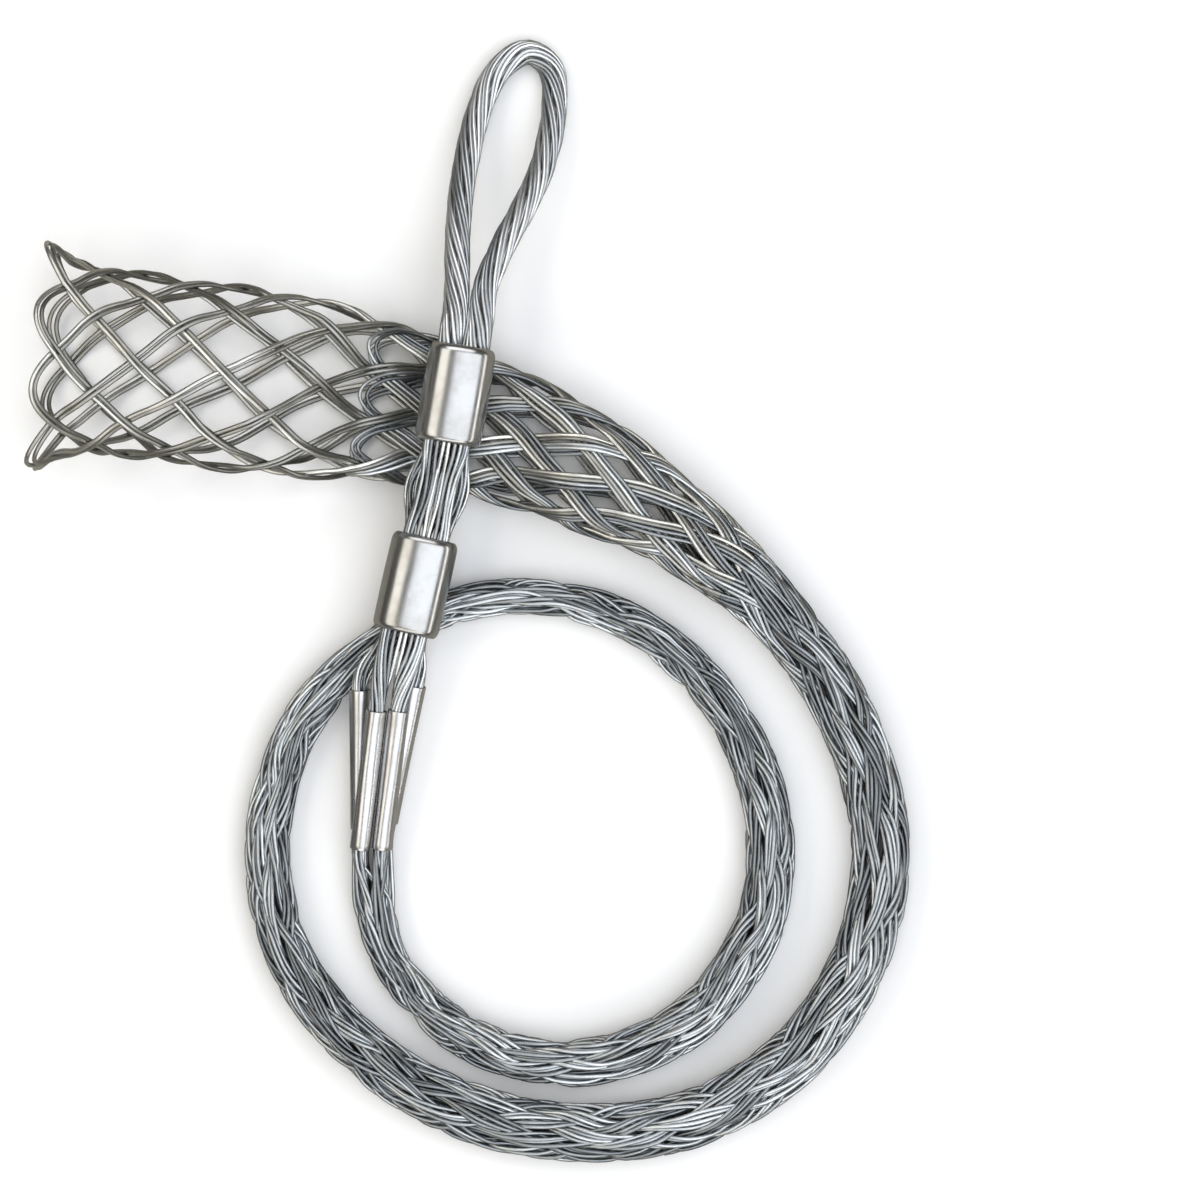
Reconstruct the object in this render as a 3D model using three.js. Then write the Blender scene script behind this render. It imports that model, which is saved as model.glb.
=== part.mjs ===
// Cable pulling grip, millimetres, +Z up.
// A sock woven from doubled galvanised wires ends in four wire groups, each bound by a thin sleeve.
// The groups run through two pressed ferrules, and the upper ferrule also holds the ends of a rope eye.
// The empty sock lies coiled on the ground, with its open mouth pressed out round.
import * as THREE from 'three';

// Wire and weave
const WIRE_D = 1.6;
const WIRES_PER_STRAND = 2;
const RIBBONS = 8;
const CLEARANCE = 0.3;
const CROSSING_LIFT = 0.5;
const STRAND_GAP = 1;
const BEND_ALLOWANCE = 0.7;
const FLAT_SHARE = 0.38;
const RIBBON_ROOM_SHARE = 0.93;
const SIDE_CLOSED = 21;
const SIDE_WIDE = 24;
const SIDE_MOUTH = 19.5;
const SIDE_GROWS_FROM = 190;
const SIDE_WIDEST_AT = 95;
const PETAL_TURN = 25 / 360;
const STEP_ROW = 7;
const LAST_SINGLE_ROW = 2;
const MOUTH_APEX = -0.45;
const TIP_SPLAY = 8;
const STEP_APEX = 0.28;
const MOUTH_TIP_STEPS = 8;
const STEP_TIP_STEPS = 6;

// Girth of the sock
const START_W = 20.2;
const NARROW_W = 15;
const INNER_TURN_W = 20.5;
const OUTER_TURN_W = 23.8;
const PRESSED_W = 58;
const PRESSED_H = 24;
const MOUTH_W = 76;
const FLARE = 14;
const OPEN_WEAVE_FROM_W = 30;
const BRAID_WALL = 3.4;
const START_WALL = 1.3;
const START_LENGTH = 9;
const RELIEF_SHARE = 0.7;
const SHORTEST_ROW = 0.4;
const GIRTH_EASING = 0.6;

// Ferrules
const FERRULE_L = 39;
const FERRULE_W = 26.8;
const FERRULE_H = 22;
const FERRULE_WALL = 2.5;
const FERRULE_EDGE_R = 2.4;
const UPPER_FERRULE = { x: -57.2, y: 81.2, turn: 9.7 };
const LOWER_FERRULE = { x: -73.2, y: 6.0, turn: 12.8 };

// Wire groups and their sleeves
const GROUP_D = 6.6;
const SLEEVE_WALL = 0.6;
const SLEEVE_L = 57;
const SLEEVES_TO_BRAID = 7;
const SLEEVE_SLOPE = 12;
const NECK_SPREAD = 8.7;
const GROUP_LAY = 160;
const GROUP_LOBES = 5;
const NECK_BEND = 0.2;
const SLEEVE_BEND = 0.4;

// Eye rope
const EYE_ROPE_D = 10.4;
const EYE_LAY = 92;
const EYE_LOBES = 6;
const EYE_LEAD = 8;
const LOBE_LOW = 0.88;

const DEGREE = Math.PI / 180;
const UP = new THREE.Vector3(0, 0, 1);

// Route of the sock on the ground, from the sleeves to the mouth: x, y, width, height.
const ROUTE = [
  [-91.2, -106, START_W, START_W],
  [-89.4, -124, 16.6, 16.6],
  [-83.2, -144.8, NARROW_W, NARROW_W],
  [-51.6, -175.2, 18, 18],
  [-6.8, -184.4, 19.6, 19.6],
  [36.8, -167.2, INNER_TURN_W, INNER_TURN_W],
  [64, -127.6, INNER_TURN_W, INNER_TURN_W],
  [66, -81.2, 19.6, 19.6],
  [45.6, -37.6, 17.2, 17.2],
  [8, -6.8, 15.8, 15.8],
  [-39.6, 1.2, NARROW_W, NARROW_W],
  [-84, -14.4, NARROW_W, NARROW_W],
  [-118.4, -48, 17.6, 17.6],
  [-132.4, -94.4, 18.6, 18.6],
  [-124.4, -140.8, 19.6, 19.6],
  [-95.6, -178.4, 21.8, 21.8],
  [-56, -202.4, OUTER_TURN_W, OUTER_TURN_W],
  [-11.6, -212, OUTER_TURN_W, OUTER_TURN_W],
  [36, -206.8, OUTER_TURN_W, OUTER_TURN_W],
  [77.2, -182, OUTER_TURN_W, OUTER_TURN_W],
  [104, -142, OUTER_TURN_W, OUTER_TURN_W],
  [111.6, -95.2, 24, 24],
  [98, -46.4, 23.8, 23.8],
  [72, -7.2, 24.6, 24.6],
  [36.4, 25.2, 34.4, 32],
  [-4.8, 50.6, 48.5, 38],
  [-35, 64, PRESSED_W - 3, 26],
  [-54, 71, PRESSED_W, PRESSED_H],
  [-70, 75, PRESSED_W + 4, PRESSED_H],
  [-92, 79.8, PRESSED_W + 10, 34],
  [-116, 84, MOUTH_W - 2, MOUTH_W - 20],
  [-140, 87, MOUTH_W, MOUTH_W - 4],
  [-188, 93.4, MOUTH_W, MOUTH_W],
  [-208, 95.1, MOUTH_W + 4, MOUTH_W + 4],
  [-223, 96.3, MOUTH_W + FLARE, MOUTH_W + FLARE],
];

// Centre line of the rope eye beyond the ferrule, from the left leg round to the right: x, y, z.
const EYE_ROUTE = [
  [-56.8, 119.2, 33],
  [-56.2, 149.6, 24.5],
  [-53.6, 172, 16.5],
  [-48, 196, 9.5],
  [-40, 212, 6],
  [-28.8, 218.8, 5.3],
  [-20, 212.8, 5.6],
  [-18.2, 197.2, 9],
  [-23.4, 171.2, 17],
  [-31.2, 154, 23.5],
  [-38.2, 140.8, 28.5],
  [-45.2, 123.6, 33.5],
];

// The four sleeves: side of the middle, level, the plan point that the upper end aims at,
// and how far the sleeve sits up its wire group.
const SLEEVES = [
  { name: 'sleeve_1', side: -1, upper: false, from: [-95.4, -40], raised: 8 },
  { name: 'sleeve_2', side: -1, upper: true, from: [-88.8, -45.2], raised: 0 },
  { name: 'sleeve_3', side: 1, upper: true, from: [-80, -44.8], raised: 0 },
  { name: 'sleeve_4', side: 1, upper: false, from: [-73.6, -36], raised: 11 },
];

function paint(color, roughness, metalness) {
  return new THREE.MeshStandardMaterial({ color, roughness, metalness });
}

function lerp(a, b, share) {
  return a + (b - a) * share;
}

function smooth(share) {
  const t = Math.min(1, Math.max(0, share));
  return t * t * (3 - 2 * t);
}

// Closed bodies from rings of points

// Joins rings of equal count into a closed skin. The last ring meets the first, or flat fans end it.
function skinOf(rings, closed) {
  const count = rings[0].length;
  const points = rings.flat();
  const index = [];
  const links = closed ? rings.length : rings.length - 1;
  for (let r = 0; r < links; r += 1) {
    const a = r * count;
    const b = ((r + 1) % rings.length) * count;
    for (let k = 0; k < count; k += 1) {
      const n = (k + 1) % count;
      index.push(a + k, a + n, b + n, a + k, b + n, b + k);
    }
  }
  if (!closed) {
    const last = (rings.length - 1) * count;
    for (let k = 1; k < count - 1; k += 1) {
      index.push(0, k + 1, k);
      index.push(last, last + k, last + k + 1);
    }
  }
  return solid(points, index);
}

// A geometry whose faces are turned so that its volume is positive.
function solid(points, index) {
  let volume = 0;
  for (let f = 0; f < index.length; f += 3) {
    const a = points[index[f]];
    const b = points[index[f + 1]];
    const c = points[index[f + 2]];
    volume += a.dot(new THREE.Vector3().crossVectors(b, c));
  }
  if (volume < 0) {
    for (let f = 0; f < index.length; f += 3) {
      const kept = index[f + 1];
      index[f + 1] = index[f + 2];
      index[f + 2] = kept;
    }
  }
  const geometry = new THREE.BufferGeometry();
  const flat = points.flatMap((p) => [p.x, p.y, p.z]);
  geometry.setAttribute('position', new THREE.Float32BufferAttribute(flat, 3));
  geometry.setIndex(index);
  geometry.computeVertexNormals();
  return geometry;
}

// The sock's surface

const routePoints = ROUTE.map(([x, y]) => new THREE.Vector3(x, y, 0));
const routeLine = new THREE.CatmullRomCurve3(routePoints, false, 'centripetal');
routeLine.arcLengthDivisions = 1200;
const SOCK_L = routeLine.getLength();

// Width and height at each route point, against its distance along the route.
const girthStops = makeGirthStops();

function makeGirthStops() {
  const lengths = routeLine.getLengths();
  const spans = ROUTE.length - 1;
  return ROUTE.map((p, k) => {
    const at = lengths[Math.round((k / spans) * (lengths.length - 1))];
    return { at, width: p[2], height: p[3] };
  });
}

// Smooth girth between the stops, straight past either end.
function girthAt(s) {
  const last = girthStops.length - 1;
  let k = 0;
  while (k < last - 1 && s > girthStops[k + 1].at) k += 1;
  const a = girthStops[k];
  const b = girthStops[k + 1];
  const share = (s - a.at) / (b.at - a.at);
  const eased = share > 1 ? share : lerp(share, smooth(share), GIRTH_EASING);
  return { width: lerp(a.width, b.width, eased), height: lerp(a.height, b.height, eased) };
}

function perimeter(width, height) {
  return 2 * (width - height) + Math.PI * height;
}

// Length of one side of the weave's diamonds, by distance from the mouth.
function sideAt(s) {
  const left = SOCK_L - s;
  if (left > SIDE_WIDEST_AT) {
    return lerp(SIDE_WIDE, SIDE_CLOSED, smooth((left - SIDE_WIDEST_AT) / (SIDE_GROWS_FROM - SIDE_WIDEST_AT)));
  }
  return lerp(SIDE_MOUTH, SIDE_WIDE, smooth(left / SIDE_WIDEST_AT));
}

// Depth of the woven surface's middle below its outermost wires.
const STRAND_LIFT = WIRE_D / 2 + CLEARANCE / 2 + CROSSING_LIFT;
const MID_DEPTH = STRAND_LIFT + WIRE_D / 2 + BEND_ALLOWANCE;

function sineAt(s) {
  const { width, height } = girthAt(s);
  return perimeter(width - 2 * MID_DEPTH, height - 2 * MID_DEPTH) / (2 * RIBBONS * sideAt(s));
}

// Rows of crossings are counted from the mouth, where row 0 holds the tips of the petals.
const ROW_STEP = 0.5;
const rowTable = makeRowTable();

function makeRowTable() {
  const table = [{ s: SOCK_L, row: 0 }];
  let row = 0;
  for (let s = SOCK_L - ROW_STEP; s > 0; s -= ROW_STEP) {
    const pitch = sideAt(s) * Math.sqrt(1 - sineAt(s) ** 2);
    row += ROW_STEP / pitch;
    table.push({ s, row });
  }
  return table;
}

const LAST_ROW = rowTable[rowTable.length - 1].row;

function distanceOfRow(row) {
  if (row <= 0) return SOCK_L - (row * ROW_STEP) / rowTable[1].row;
  let low = 0;
  let high = rowTable.length - 1;
  while (high - low > 1) {
    const middle = (low + high) >> 1;
    if (rowTable[middle].row <= row) low = middle;
    else high = middle;
  }
  const a = rowTable[low];
  const b = rowTable[high];
  return lerp(a.s, b.s, (row - a.row) / (b.row - a.row));
}

function rowOfWidth(width) {
  return rowTable.find((entry) => girthAt(entry.s).width < width).row;
}

// Point and outward direction on the sock, inset from its outermost surface.
// The turn goes once round from 0 to 1, along a section with round sides and a flat top and bottom.
function surfaceAt(s, turn, inset) {
  const share = Math.min(1, Math.max(0, s / SOCK_L));
  const centre = routeLine.getPointAt(share);
  const along = routeLine.getTangentAt(share);
  centre.addScaledVector(along, s - share * SOCK_L);
  const side = new THREE.Vector3().crossVectors(UP, along).normalize();
  const { width, height } = girthAt(s);
  const flat = Math.max(0, (width - height) / 2);
  const radius = height / 2 - inset;
  const round = perimeter(width - 2 * inset, height - 2 * inset);
  const at = (((turn % 1) + 1) % 1) * round;
  const quarter = (Math.PI * radius) / 2;
  let x;
  let angle;
  if (at < quarter) {
    x = flat;
    angle = at / radius;
  } else if (at < quarter + 2 * flat) {
    x = flat - (at - quarter);
    angle = Math.PI / 2;
  } else if (at < 3 * quarter + 2 * flat) {
    x = -flat;
    angle = (at - 2 * flat) / radius;
  } else if (at < 3 * quarter + 4 * flat) {
    x = -flat + (at - 3 * quarter - 2 * flat);
    angle = (3 * Math.PI) / 2;
  } else {
    x = flat;
    angle = (at - 4 * flat) / radius;
  }
  const out = new THREE.Vector3().addScaledVector(side, Math.cos(angle)).addScaledVector(UP, Math.sin(angle));
  const point = centre.clone().addScaledVector(side, x).addScaledVector(out, radius);
  point.z += height / 2;
  return { point, out, along };
}

// The closed braid: one wall whose ridges follow the woven ribbons

const COLUMNS = 2 * RIBBONS;
const OPEN_ROW = Math.ceil(rowOfWidth(OPEN_WEAVE_FROM_W));

function braidRing(row, insetOf) {
  const s = distanceOfRow(row);
  const ring = [];
  for (let m = 0; m < COLUMNS; m += 1) {
    ring.push(surfaceAt(s, PETAL_TURN + m / COLUMNS, insetOf(m, s)).point);
  }
  return ring;
}

function wallAt(s) {
  return lerp(START_WALL, BRAID_WALL, smooth((s - START_LENGTH) / (4 * START_LENGTH)));
}

function closedBraid() {
  const rows = [];
  for (let row = OPEN_ROW; row < LAST_ROW - SHORTEST_ROW; row += 1) rows.push(row);
  const lastRow = rowTable[rowTable.length - 1];
  rows.push(lastRow.row);
  const outer = rows.map((row) => braidRing(row, (m, s) => {
    const low = Math.abs(Math.round(row) - m) % 2 === 1;
    return low ? wallAt(s) * RELIEF_SHARE : 0;
  }));
  const innerRows = rows.filter((row, k) => k % 2 === 0 || k === rows.length - 1 || k === rows.length - 2);
  const inner = innerRows.map((row) => braidRing(row, (m, s) => wallAt(s)));
  return braidSkin(outer, inner);
}

// Outer faces are split along the ridges, which join the high points.
function braidSkin(outer, inner) {
  const points = [...outer.flat(), ...inner.flat()];
  const index = [];
  const base = outer.length * COLUMNS;
  for (let r = 0; r < outer.length - 1; r += 1) {
    for (let m = 0; m < COLUMNS; m += 1) {
      const n = (m + 1) % COLUMNS;
      const a = r * COLUMNS;
      const b = a + COLUMNS;
      const ridge = (OPEN_ROW + r + m) % 2 === 0;
      if (ridge) index.push(a + m, a + n, b + n, a + m, b + n, b + m);
      else index.push(a + m, a + n, b + m, a + n, b + n, b + m);
    }
  }
  for (let r = 0; r < inner.length - 1; r += 1) {
    for (let m = 0; m < COLUMNS; m += 1) {
      const n = (m + 1) % COLUMNS;
      const a = base + r * COLUMNS;
      const b = a + COLUMNS;
      index.push(a + m, b + n, a + n, a + m, b + m, b + n);
    }
  }
  const lastOuter = (outer.length - 1) * COLUMNS;
  const lastInner = base + (inner.length - 1) * COLUMNS;
  for (let m = 0; m < COLUMNS; m += 1) {
    const n = (m + 1) % COLUMNS;
    index.push(m, base + m, n, n, base + m, base + n);
    index.push(lastOuter + m, lastOuter + n, lastInner + m, lastOuter + n, lastInner + n, lastInner + m);
  }
  return solid(points, index);
}

// Strands of the open weave

const STRAND_W = WIRES_PER_STRAND * WIRE_D;

// Where a strand of either hand lies round the sock. Hand 1 and hand -1 cross at every whole row.
function turnOf(hand, ribbon, row) {
  return PETAL_TURN + (2 * ribbon + hand * row) / COLUMNS;
}

// Width of one strand: where the sock narrows, the wires of a ribbon bunch together.
function strandWidthAt(row) {
  const s = distanceOfRow(row);
  const sine = sineAt(s);
  const slope = sine / Math.sqrt(1 - sine * sine);
  const room = 2 * FLAT_SHARE * sideAt(s) * slope * RIBBON_ROOM_SHARE;
  const pairWidth = Math.min(2 * STRAND_W + STRAND_GAP, room);
  return (pairWidth - STRAND_GAP) / 2;
}

// The frame of a crossing, as seen by the strand that runs through it towards the mouth.
function crossingFrame(hand, ribbon, row) {
  const reach = 0.12;
  const turnReach = 0.02;
  const inset = MID_DEPTH;
  const here = surfaceAt(distanceOfRow(row), turnOf(hand, ribbon, row), inset);
  const back = surfaceAt(distanceOfRow(row + reach), turnOf(hand, ribbon, row + reach), inset);
  const ahead = surfaceAt(distanceOfRow(row - reach), turnOf(hand, ribbon, row - reach), inset);
  const turn = turnOf(hand, ribbon, row);
  const round = surfaceAt(distanceOfRow(row), turn + turnReach, inset).point;
  round.sub(surfaceAt(distanceOfRow(row), turn - turnReach, inset).point);
  const lengthways = surfaceAt(distanceOfRow(row - reach), turn, inset).point;
  lengthways.sub(surfaceAt(distanceOfRow(row + reach), turn, inset).point);
  const out = new THREE.Vector3().crossVectors(lengthways, round).normalize();
  if (out.dot(here.out) < 0) out.negate();
  const towards = ahead.point.clone().sub(back.point);
  towards.addScaledVector(out, -towards.dot(out)).normalize();
  const across = new THREE.Vector3().crossVectors(out, towards).normalize();
  const facing = across.dot(round) * hand < 0 ? 1 : -1;
  return { point: here.point, out, radial: here.out, along: here.along, towards, across, facing };
}

// Stations of one strand from the closed braid towards the mouth, one or two to a crossing.
// Offset 1 keeps to the side where the hand's partner waits, offset -1 to the other side.
function strandStations(hand, ribbon, lastRow, offset) {
  const stations = [];
  for (let row = OPEN_ROW; row >= lastRow; row -= 1) {
    const frame = crossingFrame(hand, ribbon, row);
    const width = strandWidthAt(row);
    const fade = smooth((row - (STEP_ROW - 2)) / 2);
    const shift = offset * fade * frame.facing * ((width + STRAND_GAP) / 2);
    const over = (row % 2 === 0) === (hand === 1);
    const lift = over ? STRAND_LIFT : -STRAND_LIFT;
    const centre = frame.point.clone().addScaledVector(frame.across, shift).addScaledVector(frame.out, lift);
    const reach = FLAT_SHARE * sideAt(distanceOfRow(row));
    const paired = row > LAST_SINGLE_ROW;
    if (row === OPEN_ROW) {
      stations.push(buttStation(frame, shift, lift, width));
    } else if (paired) {
      stations.push(station(centre.clone().addScaledVector(frame.towards, -reach), frame, width));
    }
    if (paired) stations.push(station(centre.clone().addScaledVector(frame.towards, reach), frame, width));
    else stations.push(station(centre, frame, width));
  }
  return stations;
}

function station(point, frame, width) {
  return { point, out: frame.out, across: frame.across, width };
}

// The first section lies parallel to the end of the closed braid, one clearance away.
function buttStation(frame, shift, lift, width) {
  const across = new THREE.Vector3().crossVectors(frame.radial, frame.along).normalize();
  const lean = Math.abs(frame.towards.dot(frame.along));
  const point = frame.point.clone()
    .addScaledVector(frame.along, CLEARANCE)
    .addScaledVector(across, shift / lean)
    .addScaledVector(frame.radial, lift);
  return { point, out: frame.radial, across, width: width / lean };
}

// A strand turns back in a rounded tip from hand 1 into its partner of hand -1.
function tipStations(from, to, apex, steps) {
  const curve = new THREE.QuadraticBezierCurve3(from.point, apex, to.point);
  const made = [];
  for (let k = 1; k < steps; k += 1) {
    const share = k / steps;
    const out = from.out.clone().lerp(to.out, share).normalize();
    const along = curve.getTangent(share);
    out.addScaledVector(along, -out.dot(along)).normalize();
    const across = new THREE.Vector3().crossVectors(out, along).normalize();
    made.push({ point: curve.getPoint(share), out, across, width: lerp(from.width, to.width, share) });
  }
  return made;
}

// The apex stands twice as far out as the tip that it bends.
function loopOfStrands(ribbon, tipRow, offset, apexRow, splay, steps) {
  const partner = ribbon + tipRow;
  const there = strandStations(1, ribbon, tipRow + 1, offset);
  const back = strandStations(-1, partner, tipRow + 1, offset).reverse();
  back.forEach((one) => {
    one.across = one.across.clone().negate();
  });
  const turn = turnOf(1, ribbon, tipRow);
  const apex = surfaceAt(distanceOfRow(apexRow), turn, MID_DEPTH - 2 * splay).point;
  const tip = tipStations(there[there.length - 1], back[0], apex, steps);
  return ribbonBody([...there, ...tip, ...back]);
}

function ribbonBody(stations) {
  const rings = stations.map(({ point, out, across, width }) => {
    const corners = [[-1, -1], [1, -1], [1, 1], [-1, 1]];
    return corners.map(([a, b]) => point.clone()
      .addScaledVector(across, (a * width) / 2)
      .addScaledVector(out, (b * WIRE_D) / 2));
  });
  rings.forEach(liftOntoGround);
  return skinOf(rings, false);
}

// A section that would dip under the ground is raised onto it.
function liftOntoGround(ring) {
  const lowest = Math.min(...ring.map((corner) => corner.z));
  if (lowest < 0) ring.forEach((corner) => corner.setZ(corner.z - lowest));
}

// Mouth loops run the whole open weave, and their tips splay at the two sides of the mouth.
// Step loops add their wires and turn back part way.
function mouthLoop(ribbon) {
  const sideways = Math.cos(2 * Math.PI * turnOf(1, ribbon, 0));
  const splay = TIP_SPLAY * sideways ** 4;
  return loopOfStrands(ribbon, 0, -1, MOUTH_APEX, splay, MOUTH_TIP_STEPS);
}

function stepLoop(ribbon) {
  return loopOfStrands(ribbon, STEP_ROW, 1, STEP_ROW + STEP_APEX, 0, STEP_TIP_STEPS);
}

// Ropes with a lobed section that turns along their length

function lobedRope(curve, diameter, lobes, lay, spacing) {
  const length = curve.getLength();
  const steps = Math.ceil(length / spacing);
  const sides = 2 * lobes;
  const rings = [];
  for (let k = 0; k <= steps; k += 1) {
    const share = k / steps;
    const centre = curve.getPointAt(share);
    const along = curve.getTangentAt(share);
    const side = new THREE.Vector3().crossVectors(UP, along).normalize();
    const top = new THREE.Vector3().crossVectors(along, side).normalize();
    const turned = (share * length / lay) * 2 * Math.PI;
    const ring = [];
    for (let m = 0; m < sides; m += 1) {
      const angle = (m / sides) * 2 * Math.PI + turned;
      const radius = (diameter / 2) * (m % 2 === 0 ? 1 : LOBE_LOW);
      ring.push(centre.clone()
        .addScaledVector(side, radius * Math.cos(angle))
        .addScaledVector(top, radius * Math.sin(angle)));
    }
    rings.push(ring);
  }
  return skinOf(rings, false);
}

// Ferrules

// The ferrules lie level on the sock that passes under them.
function topOfSockUnder(ferrule) {
  const axis = new THREE.Vector3(Math.sin(ferrule.turn * DEGREE), Math.cos(ferrule.turn * DEGREE), 0);
  let top = 0;
  for (let s = 0; s < SOCK_L; s += 2) {
    const away = routeLine.getPointAt(s / SOCK_L).sub(new THREE.Vector3(ferrule.x, ferrule.y, 0));
    const { width, height } = girthAt(s);
    const along = Math.abs(away.dot(axis));
    const right = Math.abs(away.cross(axis).z);
    if (right < FERRULE_W / 2 && along < (FERRULE_L + width) / 2) top = Math.max(top, height);
  }
  return top;
}

function ferruleHeight(ferrule) {
  return topOfSockUnder(ferrule) + 2 * CLEARANCE + FERRULE_H / 2;
}

const BORE_W = FERRULE_W - 2 * FERRULE_WALL;
const BORE_H = FERRULE_H - 2 * FERRULE_WALL;

// A point in a ferrule's own frame: along its axis towards the eye, to its right, and up.
function ferrulePoint(ferrule, along, right, up) {
  const turn = ferrule.turn * DEGREE;
  const x = ferrule.x + along * Math.sin(turn) + right * Math.cos(turn);
  const y = ferrule.y + along * Math.cos(turn) - right * Math.sin(turn);
  return new THREE.Vector3(x, y, ferruleHeight(ferrule) + up);
}

function ovalRing(along, inset) {
  const flat = (FERRULE_W - FERRULE_H) / 2;
  const radius = FERRULE_H / 2 - inset;
  const perEnd = 12;
  const ring = [];
  for (let end = 0; end < 2; end += 1) {
    for (let k = 0; k <= perEnd; k += 1) {
      const angle = -Math.PI / 2 + end * Math.PI + (k / perEnd) * Math.PI;
      const x = (end === 0 ? flat : -flat) + radius * Math.cos(angle);
      ring.push(new THREE.Vector3(x, along, radius * Math.sin(angle)));
    }
  }
  return ring;
}

function ferruleBody() {
  const half = FERRULE_L / 2;
  const edge = Math.min(FERRULE_EDGE_R, 0.9 * FERRULE_WALL);
  const edgeSteps = 3;
  const lower = [[-half, FERRULE_WALL]];
  for (let k = 0; k <= edgeSteps; k += 1) {
    const angle = (k / edgeSteps) * (Math.PI / 2);
    lower.push([-half + edge * (1 - Math.cos(angle)), edge * (1 - Math.sin(angle))]);
  }
  const upper = lower.map(([along, inset]) => [-along, inset]).reverse();
  return skinOf([...lower, ...upper].map(([along, inset]) => ovalRing(along, inset)), true);
}

function ferruleMesh(name, ferrule, material) {
  const mesh = new THREE.Mesh(ferruleBody(), material);
  mesh.name = name;
  mesh.position.copy(ferrulePoint(ferrule, 0, 0, 0));
  mesh.rotation.z = -ferrule.turn * DEGREE;
  return mesh;
}

// Sleeves and wire groups

const SLEEVE_BORE_D = GROUP_D + 2 * CLEARANCE;
const SLEEVE_D = SLEEVE_BORE_D + 2 * SLEEVE_WALL;
const SLEEVE_PITCH = SLEEVE_D + CLEARANCE;
const GROUP_PITCH = GROUP_D + CLEARANCE;

// Both ends of a sleeve's axis: the four sleeves meet two by two at the start of the braid.
function sleeveAxis(sleeve) {
  const start = routeLine.getPointAt(0);
  const level = sleeve.upper ? 0.5 : -0.5;
  const endX = start.x + sleeve.side * (SLEEVE_PITCH / 2);
  const end = new THREE.Vector3(endX, start.y + SLEEVES_TO_BRAID, START_W / 2 + level * SLEEVE_PITCH);
  const plan = new THREE.Vector3(sleeve.from[0] - end.x, sleeve.from[1] - end.y, 0);
  const rise = SLEEVE_SLOPE * DEGREE;
  const towards = plan.normalize().multiplyScalar(Math.cos(rise)).setZ(Math.sin(rise));
  end.addScaledVector(towards, sleeve.raised);
  const top = end.clone().addScaledVector(towards, SLEEVE_L);
  return { top, end, towards };
}

function sleeveBody() {
  const inner = SLEEVE_BORE_D / 2;
  const outer = SLEEVE_D / 2;
  const chamfer = SLEEVE_WALL / 3;
  const sides = 20;
  const profile = [
    [inner, 0], [outer - chamfer, 0], [outer, chamfer],
    [outer, SLEEVE_L - chamfer], [outer - chamfer, SLEEVE_L], [inner, SLEEVE_L],
  ];
  const rings = profile.map(([radius, along]) => {
    const ring = [];
    for (let k = 0; k < sides; k += 1) {
      const angle = (k / sides) * 2 * Math.PI;
      ring.push(new THREE.Vector3(radius * Math.cos(angle), along, radius * Math.sin(angle)));
    }
    return ring;
  });
  return skinOf(rings, true);
}

function sleeveMesh(sleeve, material) {
  const { end, towards } = sleeveAxis(sleeve);
  const mesh = new THREE.Mesh(sleeveBody(), material);
  mesh.name = sleeve.name;
  mesh.position.copy(end);
  mesh.quaternion.setFromUnitVectors(new THREE.Vector3(0, 1, 0), towards);
  return mesh;
}

// A wire group's centre line, from the middle of the upper ferrule to inside the braid.
function groupLine(sleeve) {
  const { top, end, towards } = sleeveAxis(sleeve);
  const half = FERRULE_L / 2;
  const level = sleeve.upper ? 0.5 : -0.5;
  const up = level * GROUP_PITCH;
  const room = BORE_H / 2 - GROUP_D / 2 - CLEARANCE;
  const right = sleeve.side * ((BORE_W - BORE_H) / 2 + Math.sqrt(room * room - up * up));
  const a = ferrulePoint(UPPER_FERRULE, -CLEARANCE, right, up);
  const b = ferrulePoint(UPPER_FERRULE, -half, right, up);
  const c = ferrulePoint(LOWER_FERRULE, half, right, up);
  const d = ferrulePoint(LOWER_FERRULE, -half, right, up);
  const neckSide = sleeve.side * (sleeve.upper ? GROUP_PITCH / 2 + CLEARANCE : NECK_SPREAD);
  const shift = neckSide - right;
  const turn = ((UPPER_FERRULE.turn + LOWER_FERRULE.turn) / 2) * DEGREE;
  const across = new THREE.Vector3(Math.cos(turn), -Math.sin(turn), 0);
  const middle = b.clone().add(c).multiplyScalar(0.5).addScaledVector(across, shift);
  const path = new THREE.CurvePath();
  const bend = b.distanceTo(c) * NECK_BEND;
  const upDir = a.clone().sub(b).normalize();
  const downDir = d.clone().sub(c).normalize();
  const through = c.clone().sub(b).normalize();
  path.add(new THREE.LineCurve3(a, b));
  path.add(new THREE.CubicBezierCurve3(b, b.clone().addScaledVector(upDir, -bend),
    middle.clone().addScaledVector(through, -bend), middle));
  path.add(new THREE.CubicBezierCurve3(middle, middle.clone().addScaledVector(through, bend),
    c.clone().addScaledVector(downDir, -bend), c));
  path.add(new THREE.LineCurve3(c, d));
  const fall = d.distanceTo(top) * SLEEVE_BEND;
  path.add(new THREE.CubicBezierCurve3(d, d.clone().addScaledVector(downDir, fall),
    top.clone().addScaledVector(towards, fall), top));
  path.add(new THREE.LineCurve3(top, end));
  return path;
}

// The group's last stretch closes up from the sleeves' pitch to its place inside the braid.
function groupInBraid(sleeve, s) {
  const share = s / SOCK_L;
  const centre = routeLine.getPointAt(share);
  const side = new THREE.Vector3().crossVectors(UP, routeLine.getTangentAt(share)).normalize();
  const level = sleeve.upper ? 0.5 : -0.5;
  centre.addScaledVector(side, sleeve.side * (GROUP_PITCH / 2));
  centre.z = girthAt(0).height / 2 + level * GROUP_PITCH;
  return centre;
}

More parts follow.
